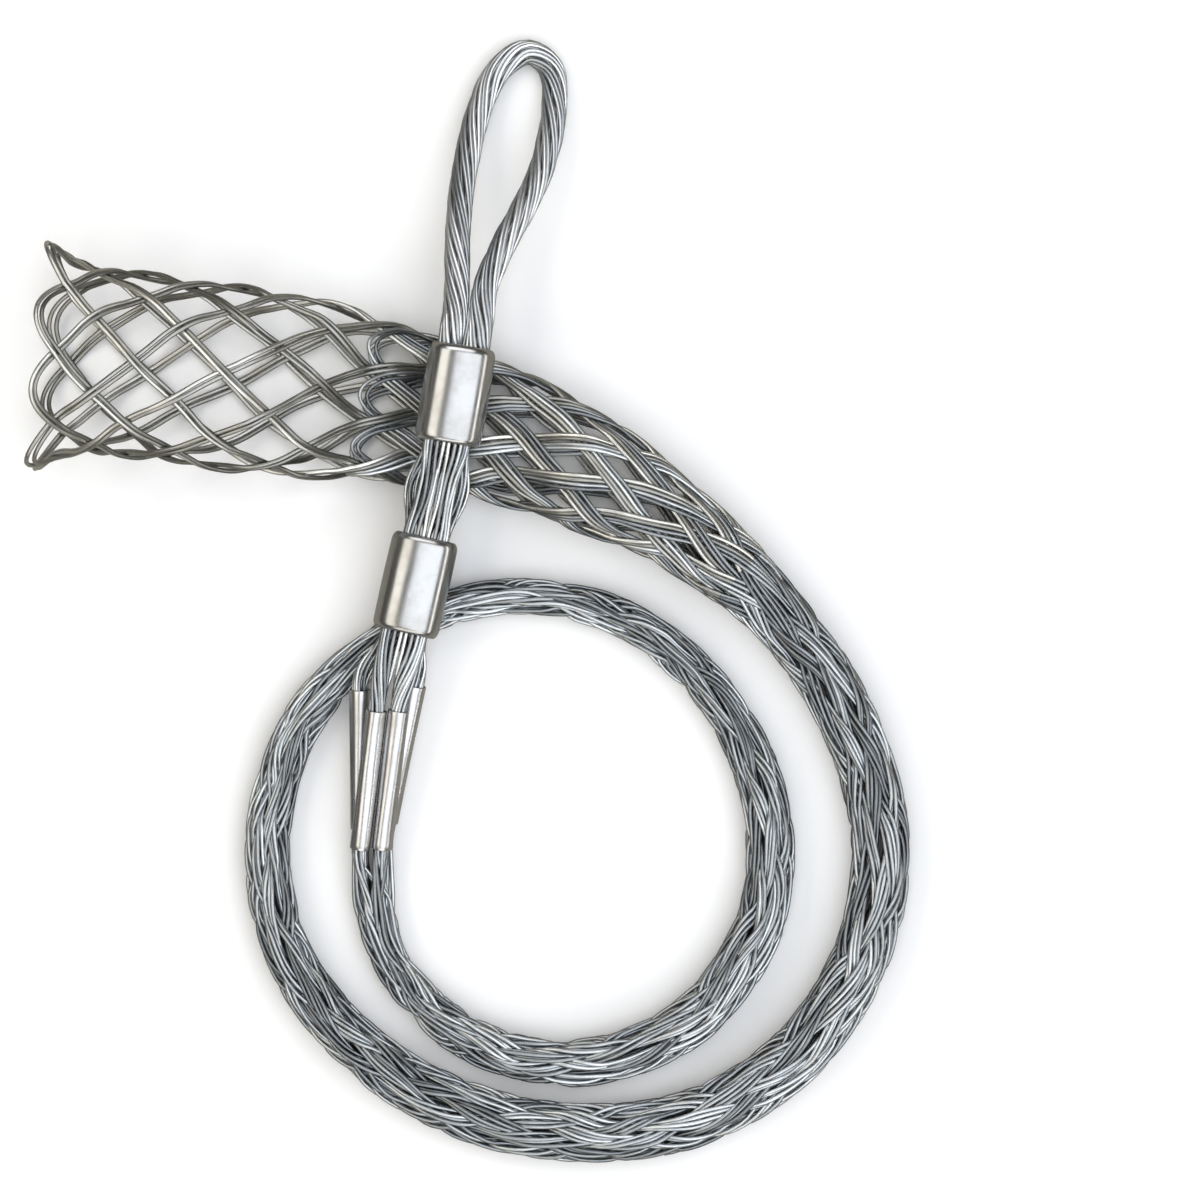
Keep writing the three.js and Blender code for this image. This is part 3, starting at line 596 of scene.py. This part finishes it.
def new_material(name):
    material = bpy.data.materials.new(name)
    material.use_nodes = True
    material.node_tree.nodes.clear()
    return material, material.node_tree


def finish_material(tree, shader):
    add_node(tree, "ShaderNodeOutputMaterial", links={"Surface": shader.outputs[0]})


def galvanised_steel(name, dark, base, bright, roughness):
    """Zinc coated steel wire: each wire has its own shade, with soft mottling and a fine, dull grain."""
    material, tree = new_material(name)
    place = add_node(tree, "ShaderNodeTexCoord").outputs["Object"]
    shade = add_node(tree, "ShaderNodeAttribute", attribute_name="shade").outputs["Fac"]
    mottle = add_node(
        tree, "ShaderNodeTexNoise", {"Scale": 95.0, "Detail": 4.0, "Roughness": 0.6}, {"Vector": place})
    grain = add_node(
        tree, "ShaderNodeTexNoise", {"Scale": 900.0, "Detail": 3.0, "Roughness": 0.55}, {"Vector": place})
    spots = add_node(tree, "ShaderNodeTexVoronoi", {"Scale": 420.0, "Randomness": 1.0}, {"Vector": place})
    mixed = add_node(
        tree, "ShaderNodeMath", {1: 0.5}, {0: mottle.outputs["Fac"], 2: shade}, operation="MULTIPLY_ADD")
    spread = add_node(
        tree, "ShaderNodeMapRange", {"From Min": 0.2, "From Max": 1.3}, {"Value": mixed.outputs[0]})
    ramp = add_node(tree, "ShaderNodeValToRGB", links={"Fac": spread.outputs[0]})
    ramp.color_ramp.elements[0].color = linear(dark)
    ramp.color_ramp.elements[1].color = linear(bright)
    middle = ramp.color_ramp.elements.new(0.5)
    middle.color = linear(base)
    dull = add_node(
        tree, "ShaderNodeMapRange",
        {"From Min": 0.3, "From Max": 0.75, "To Min": roughness - 0.07, "To Max": roughness + 0.12},
        {"Value": grain.outputs["Fac"]})
    height = add_node(
        tree, "ShaderNodeMath", {1: 0.35}, {0: spots.outputs["Distance"], 2: grain.outputs["Fac"]},
        operation="MULTIPLY_ADD")
    bump = add_node(
        tree, "ShaderNodeBump", {"Strength": 0.15, "Distance": 0.00006}, {"Height": height.outputs[0]})
    shader = add_node(
        tree, "ShaderNodeBsdfPrincipled", {"Metallic": 1.0},
        {"Base Color": ramp.outputs["Color"], "Roughness": dull.outputs[0], "Normal": bump.outputs[0]})
    finish_material(tree, shader)
    return material


def polished_steel(name, base, worn, roughness):
    """Pressed and polished steel: shallow waves from the die, faint hairlines and a few worn patches."""
    material, tree = new_material(name)
    place = add_node(tree, "ShaderNodeTexCoord").outputs["Object"]
    wear = add_node(
        tree, "ShaderNodeTexNoise", {"Scale": 70.0, "Detail": 5.0, "Roughness": 0.65}, {"Vector": place})
    waves = add_node(tree, "ShaderNodeTexNoise", {"Scale": 55.0, "Detail": 1.0}, {"Vector": place})
    stretched = add_node(tree, "ShaderNodeMapping", {"Scale": (2600.0, 90.0, 900.0)}, {"Vector": place})
    lines = add_node(
        tree, "ShaderNodeTexNoise", {"Scale": 1.0, "Detail": 2.0}, {"Vector": stretched.outputs[0]})
    share = add_node(
        tree, "ShaderNodeMapRange", {"From Min": 0.45, "From Max": 0.75}, {"Value": wear.outputs["Fac"]})
    colour = add_node(
        tree, "ShaderNodeMix", {6: linear(base), 7: linear(worn)}, {0: share.outputs[0]}, data_type="RGBA")
    dull = add_node(
        tree, "ShaderNodeMapRange",
        {"From Min": 0.3, "From Max": 0.8, "To Min": roughness, "To Max": roughness + 0.1},
        {"Value": wear.outputs["Fac"]})
    wavy = add_node(
        tree, "ShaderNodeBump", {"Strength": 0.35, "Distance": 0.0006}, {"Height": waves.outputs["Fac"]})
    hair = add_node(
        tree, "ShaderNodeBump", {"Strength": 0.05, "Distance": 0.00004},
        {"Height": lines.outputs["Fac"], "Normal": wavy.outputs[0]})
    shader = add_node(
        tree, "ShaderNodeBsdfPrincipled", {"Metallic": 1.0},
        {"Base Color": colour.outputs[2], "Roughness": dull.outputs[0], "Normal": hair.outputs[0]})
    finish_material(tree, shader)
    return material


# One galvanised wire throughout, in four copies whose colours are painted lighter or darker for their part
# of the grip. Painted light makes the eye rope and the wire groups lighter, and the mouth wires a little
# lighter and warmer. Painted shade keeps the closed braid and the step loops darkest.
braid_steel = galvanised_steel("galvanised_steel_wire", "63676a", "a0a4a7", "dbdfe1", 0.36)
mouth_wire_painted_light = galvanised_steel("galvanised_steel_wire_painted_light_mouth", "787874", "aeaeaa", "e2e1dc", 0.33)
group_wire_painted_light = galvanised_steel("galvanised_steel_wire_painted_light_groups", "7e8286", "c0c4c7", "ebeced", 0.3)
rope_wire_painted_light = galvanised_steel("galvanised_steel_wire_painted_light_rope", "9a9ea2", "cfd2d4", "eff0f1", 0.34)
ferrule_steel = polished_steel("polished_steel_ferrule", "b4b4b4", "a6a4a0", 0.2)
sleeve_steel = polished_steel("polished_steel_sleeve", "c6c6c8", "b6b5b1", 0.24)


# Wire sweeps by Geometry Nodes

def wire_tree():
    """Sweeps a round section along each polyline: the paths come in as edges, the wires go out as mesh."""
    tree = bpy.data.node_groups.new("wire_sweep", "GeometryNodeTree")
    sockets = [
        ("Paths", "INPUT", "NodeSocketGeometry"), ("Wire Radius", "INPUT", "NodeSocketFloat"),
        ("Sides", "INPUT", "NodeSocketInt"), ("Material", "INPUT", "NodeSocketMaterial"),
        ("Wires", "OUTPUT", "NodeSocketGeometry"),
    ]
    for name, way, kind in sockets:
        tree.interface.new_socket(name=name, in_out=way, socket_type=kind)
    entry = tree.nodes.new("NodeGroupInput")
    curves = add_node(tree, "GeometryNodeMeshToCurve", links={"Mesh": entry.outputs["Paths"]})
    section = add_node(
        tree, "GeometryNodeCurvePrimitiveCircle",
        links={"Resolution": entry.outputs["Sides"], "Radius": entry.outputs["Wire Radius"]})
    swept = add_node(
        tree, "GeometryNodeCurveToMesh", {"Fill Caps": True},
        {"Curve": curves.outputs["Curve"], "Profile Curve": section.outputs["Curve"]})
    shaded = add_node(tree, "GeometryNodeSetShadeSmooth", links={0: swept.outputs["Mesh"]})
    real = add_node(tree, "GeometryNodeRealizeInstances", links={0: shaded.outputs[0]})
    painted = add_node(
        tree, "GeometryNodeSetMaterial",
        links={"Geometry": real.outputs[0], "Material": entry.outputs["Material"]})
    add_node(tree, "NodeGroupOutput", links={"Wires": painted.outputs["Geometry"]})
    return tree


WIRE_TREE = wire_tree()


# How much of its shade a wire shares with the others of its ribbon
SHARED_SHADE = 0.6


def sweep_wires(name, wires, radius, material, sides, rng, alike=1):
    """One plain mesh with a round wire along each list of points; alike wires in a row share their shade."""
    counts = [len(w) for w in wires]
    points = (np.vstack(wires) + OFFSET) * MM
    firsts = np.concatenate([[0], np.cumsum(counts)[:-1]])
    edges = np.vstack([
        np.stack([np.arange(f, f + n - 1), np.arange(f + 1, f + n)], axis=1) for f, n in zip(firsts, counts)
    ])
    paths = bpy.data.meshes.new(name + "_paths")
    paths.vertices.add(len(points))
    paths.vertices.foreach_set("co", points.ravel())
    paths.edges.add(len(edges))
    paths.edges.foreach_set("vertices", edges.ravel())
    shade = paths.attributes.new("shade", "FLOAT", "POINT")
    own = rng.uniform(0, 1, len(wires))
    shared = np.repeat(rng.uniform(0, 1, len(wires)), alike)[:len(wires)]
    shades = np.repeat(mix(own, shared, SHARED_SHADE if alike > 1 else 0.0), counts)
    shade.data.foreach_set("value", shades.astype(np.float32))
    paths.update()
    carrier = bpy.data.objects.new(name + "_carrier", paths)
    bpy.context.scene.collection.objects.link(carrier)
    modifier = carrier.modifiers.new("wires", "NODES")
    modifier.node_group = WIRE_TREE
    values = {"Wire Radius": radius * MM, "Sides": sides, "Material": material}
    for item in WIRE_TREE.interface.items_tree:
        if item.item_type == "SOCKET" and item.name in values:
            modifier[item.identifier] = values[item.name]
    carrier.update_tag()
    bpy.context.view_layer.update()
    mesh = bpy.data.meshes.new_from_object(carrier.evaluated_get(bpy.context.evaluated_depsgraph_get()))
    bpy.data.objects.remove(carrier)
    bpy.data.meshes.remove(paths)
    mesh.name = name
    piece = bpy.data.objects.new(name, mesh)
    bpy.context.scene.collection.objects.link(piece)
    return piece


def place(piece, slot, *nodes):
    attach(piece, "root")
    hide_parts(*nodes)


# The eye rope and the wire groups

rng = np.random.default_rng(SEED)
eye = sweep_wires("eye_rope_wires", eye_wires(rng), WIRE_D / 2, rope_wire_painted_light, 8, rng)
place(eye, "wire_rope", "eye_rope")

for k, sleeve in enumerate(SLEEVES):
    bundle = sweep_wires(f"group_wires_{k + 1}", group_wires(sleeve, rng), WIRE_D / 2, group_wire_painted_light, 7, rng)
    place(bundle, "wire", f"wire_group_{k + 1}")


# The closed braid: each wire comes out of its sleeve and fans out into its ribbon.

FAN_S = 15.0
FAN_DEPTH = 9.0
FAN_BEND = 5.0
FAN_CORE_R = 0.95
FAN_RING_R = 2.55
FAN_ROW = float(np.interp(-FAN_S, -row_s, row_number))


def fan_ports(starts):
    """For each sleeve its lower end, its direction and the wires nearest to it, in order round it."""
    ports = []
    for sleeve in SLEEVES:
        _, end, towards = sleeve_axis(sleeve)
        ports.append({"end": end, "towards": towards, "wires": []})
    ends = np.array([port["end"] for port in ports])
    away = np.linalg.norm((starts[:, None, :] - ends[None, :, :])[..., [0, 2]], axis=2)
    nearest_two = np.sort(away, axis=1)[:, :2]
    for wire in np.argsort(nearest_two[:, 0] - nearest_two[:, 1]):
        room = [port for port in np.argsort(away[wire]) if len(ports[port]["wires"]) < len(BUNDLE)]
        ports[room[0]]["wires"].append(int(wire))
    for port in ports:
        across = starts - port["end"]
        port["wires"].sort(key=lambda w: math.atan2(across[w][2], across[w][0]))
    return ports


def braid_wires():
    rows = np.linspace(FAN_ROW, OPEN_ROW, int((FAN_ROW - OPEN_ROW) * 7))
    keys = [(hand, ribbon, number) for hand in (1, -1) for ribbon in range(RIBBONS) for number in range(4)]
    wires = [sock_wire(hand, ribbon, number, rows) for hand, ribbon, number in keys]
    ports = fan_ports(np.array([w[0] for w in wires]))
    for port in ports:
        side, top = level_frame(port["towards"][None, :])
        for rank, w in enumerate(port["wires"]):
            radius = FAN_CORE_R if rank % 4 == 0 else FAN_RING_R
            angle = 2 * math.pi * (rank + 0.5) / len(port["wires"]) - math.pi
            spot = side[0] * radius * -math.cos(angle) + top[0] * radius * math.sin(angle)
            inside = port["end"] + port["towards"] * FAN_DEPTH + spot
            mouth = port["end"] + spot
            first = wires[w][0]
            lead = unit(wires[w][0] - wires[w][1])
            away = mouth - port["towards"] * FAN_BEND
            fan = bezier(mouth, away, first + lead * FAN_BEND, first, 9)
            wires[w] = np.vstack([inside, fan[:-1], wires[w]])
    return {hand: [w for key, w in zip(keys, wires) if key[0] == hand] for hand in (1, -1)}


braid = braid_wires()
for hand, name in ((1, "braid_wires_right_hand"), (-1, "braid_wires_left_hand")):
    piece = sweep_wires(name, braid[hand], BRAID_WIRE_D / 2, braid_steel, 6, rng, alike=4)
    place(piece, "wire", "closed_braid")

# The open weave: mouth loops have the outer two wires of each ribbon, step loops the inner two.
for ribbon in range(RIBBONS):
    mouth_pair = [loop_wire(ribbon, 0, number, rng) for number in (0, 1)]
    step_pair = [loop_wire(ribbon, STEP_ROW, number, rng) for number in (2, 3)]
    mouth = sweep_wires(f"mouth_wires_{ribbon + 1}", mouth_pair, MOUTH_WIRE_D / 2, mouth_wire_painted_light, 8, rng)
    place(mouth, "mouth_wire", f"mouth_loop_{ribbon + 1}")
    step = sweep_wires(f"step_wires_{ribbon + 1}", step_pair, WIRE_D / 2, braid_steel, 8, rng)
    place(step, "wire", f"step_loop_{ribbon + 1}")


# Ferrule and sleeve shells

def mesh_piece(name, rings, material):
    """A closed skin over rings of equal count; the last ring meets the first."""
    rings = (np.asarray(rings) + OFFSET) * MM
    count = rings.shape[1]
    total = rings.shape[0]
    ring, spot = np.meshgrid(np.arange(total), np.arange(count), indexing="ij")
    here, beyond = ring * count, (ring + 1) % total * count
    beside = (spot + 1) % count
    faces = np.stack([here + spot, here + beside, beyond + beside, beyond + spot], axis=-1).reshape(-1, 4)
    mesh = bpy.data.meshes.new(name)
    mesh.from_pydata(rings.reshape(-1, 3).tolist(), [], faces.tolist())
    mesh.materials.append(material)
    mesh.shade_smooth()
    mesh.update()
    piece = bpy.data.objects.new(name, mesh)
    bpy.context.scene.collection.objects.link(piece)
    return piece


# How much the pressed section is squarer than an ellipse, whose number is 2.
PRESSED = 2.4
FERRULE_RIM = 3.4


def ferrule_rings(ferrule):
    """An oval pressed sleeve with full round rims, a little fuller in its middle."""
    centre, forward, sideways = ferrule_frame(ferrule)
    half = FERRULE_L / 2
    edge = FERRULE_RIM
    profile = [(-half + 1.2, FERRULE_WALL), (-half + 0.4, FERRULE_WALL - 0.25)]
    profile += [
        (-half + edge * (1 - math.cos(a)), edge * 0.62 * (1 - math.sin(a)))
        for a in np.linspace(0.12, math.pi / 2, 12)
    ]
    body = [(at, 0.0) for at in np.linspace(-half + edge, half - edge, 16)[1:-1]]
    profile = profile + body + [(-at, inset) for at, inset in reversed(profile)]
    angles = np.linspace(0, 2 * math.pi, 128, endpoint=False)
    wide = np.sign(np.cos(angles)) * np.abs(np.cos(angles)) ** (2 / PRESSED)
    high = np.sign(np.sin(angles)) * np.abs(np.sin(angles)) ** (2 / PRESSED)
    rings = []
    for at, inset in profile:
        crown = 0.25 * (at / half) ** 2
        x = (FERRULE_W / 2 - inset - crown) * wide
        z = (FERRULE_H / 2 - inset - crown) * high
        rings.append(centre + forward * at + np.outer(x, sideways) + np.outer(z, UP))
    return rings


def sleeve_rings(sleeve, rng):
    """A thin rolled sleeve with soft rims and shallow dents."""
    top, end, towards = sleeve_axis(sleeve)
    side, over = level_frame(towards[None, :])
    side, over = side[0], over[0]
    inner, outer = SLEEVE_BORE_D / 2, SLEEVE_D / 2
    rim = 0.22
    profile = [
        (rim, inner), (0.05, inner + 0.12), (0.0, (inner + outer) / 2), (0.05, outer - 0.12), (rim, outer),
    ]
    ends = [(SLEEVE_L - at, radius) for at, radius in reversed(profile)]
    body = [(at, outer) for at in np.linspace(rim, SLEEVE_L - rim, 30)[1:-1]]
    inside = [(at, inner) for at in np.linspace(SLEEVE_L - rim, rim, 12)[1:-1]]
    angles = np.linspace(0, 2 * math.pi, 72, endpoint=False)
    phases = rng.uniform(0, 2 * math.pi, 4)
    rings = []
    for at, radius in profile + body + ends + inside:
        dent = 0.10 * np.sin(2 * angles + phases[0] + at / 19)
        dent += 0.06 * np.sin(3 * angles + phases[1] - at / 12)
        r = radius - 0.08 + dent
        around = np.outer(r * np.cos(angles), side) + np.outer(r * np.sin(angles), over)
        rings.append(end + towards * at + around)
    return rings


for ferrule in (UPPER_FERRULE, LOWER_FERRULE):
    shell = mesh_piece(ferrule["node"] + "_shell", ferrule_rings(ferrule), ferrule_steel)
    place(shell, "ferrule", ferrule["node"])
for sleeve in SLEEVES:
    tube = mesh_piece(sleeve["name"] + "_shell", sleeve_rings(sleeve, rng), sleeve_steel)
    place(tube, "sleeve", sleeve["name"])


# Studio: a pale floor, soft lights above and beside the grip, and a dim surround

FLOOR_HALF = 4.0
CAMERA_HEIGHT = 3.0


def pale_floor():
    """The metal sees the floor dimmer than the camera does, so that its lower edges stay dark."""
    material, tree = new_material("pale_floor")
    rays = add_node(tree, "ShaderNodeLightPath")
    colour = add_node(
        tree, "ShaderNodeMix", {6: linear("fafafa"), 7: linear("9c998f")},
        {0: rays.outputs["Is Glossy Ray"]}, data_type="RGBA")
    shader = add_node(
        tree, "ShaderNodeBsdfPrincipled", {"Roughness": 0.9, "Specular IOR Level": 0.1},
        {"Base Color": colour.outputs[2]})
    finish_material(tree, shader)
    mesh = bpy.data.meshes.new("floor")
    corners = [(-1, -1), (1, -1), (1, 1), (-1, 1)]
    mesh.from_pydata([(FLOOR_HALF * x, FLOOR_HALF * y, 0) for x, y in corners], [], [(0, 1, 2, 3)])
    mesh.materials.append(material)
    floor = bpy.data.objects.new("floor", mesh)
    bpy.context.scene.collection.objects.link(floor)


def soft_light(name, away, tilt, heading, slide, size, radiance, colour):
    """A soft light at away metres: tilt from overhead, heading from +X towards +Y, slid along its length."""
    light = bpy.data.lights.new(name, "AREA")
    light.shape = "RECTANGLE"
    light.size, light.size_y = size
    light.energy = radiance * math.pi * size[0] * size[1]
    light.color = colour
    lamp = bpy.data.objects.new(name, light)
    tilt, heading = math.radians(tilt), math.radians(heading)
    lamp.location = (
        away * math.sin(tilt) * math.cos(heading) - slide * math.sin(heading),
        away * math.sin(tilt) * math.sin(heading) + slide * math.cos(heading),
        away * math.cos(tilt),
    )
    lamp.rotation_euler = (0, tilt, heading)
    lamp.visible_camera = False
    bpy.context.scene.collection.objects.link(lamp)


pale_floor()
soft_light("soft_light_right", 1.5, 21, -10, -0.25, (1.7, 1.8), 2.2, (0.9, 0.94, 1.0))
soft_light("soft_light_left", 1.5, 38, 170, 0.25, (0.8, 1.8), 2.05, (1.0, 0.96, 0.87))
soft_light("edge_light_right", 1.6, 72, -10, 0.0, (0.25, 1.8), 3.4, (1.0, 0.98, 0.93))
soft_light("soft_light_front", 1.6, 58, -90, 0.0, (0.7, 1.6), 2.2, (1.0, 0.99, 0.96))
soft_light("soft_light_back", 0.62, 45, 90, 0.0, (0.26, 0.5), 2.4, (0.97, 0.98, 1.0))

world = bpy.data.worlds.new("dim_surround")
world.use_nodes = True
surround = world.node_tree.nodes["Background"]
surround.inputs["Color"].default_value = linear("a8a29a")
surround.inputs["Strength"].default_value = 0.3
bpy.context.scene.world = world

camera_data = bpy.data.cameras.new("camera")
camera_data.lens = 225
camera_data.sensor_width = 36
camera = bpy.data.objects.new("camera", camera_data)
camera.location = (OFFSET[0] * MM, OFFSET[1] * MM, CAMERA_HEIGHT)
bpy.context.scene.collection.objects.link(camera)
bpy.context.scene.camera = camera

# A plain display curve, so that the pale floor shows as near white as it is.
bpy.context.scene.view_settings.view_transform = "Standard"

bpy.context.view_layer.update()
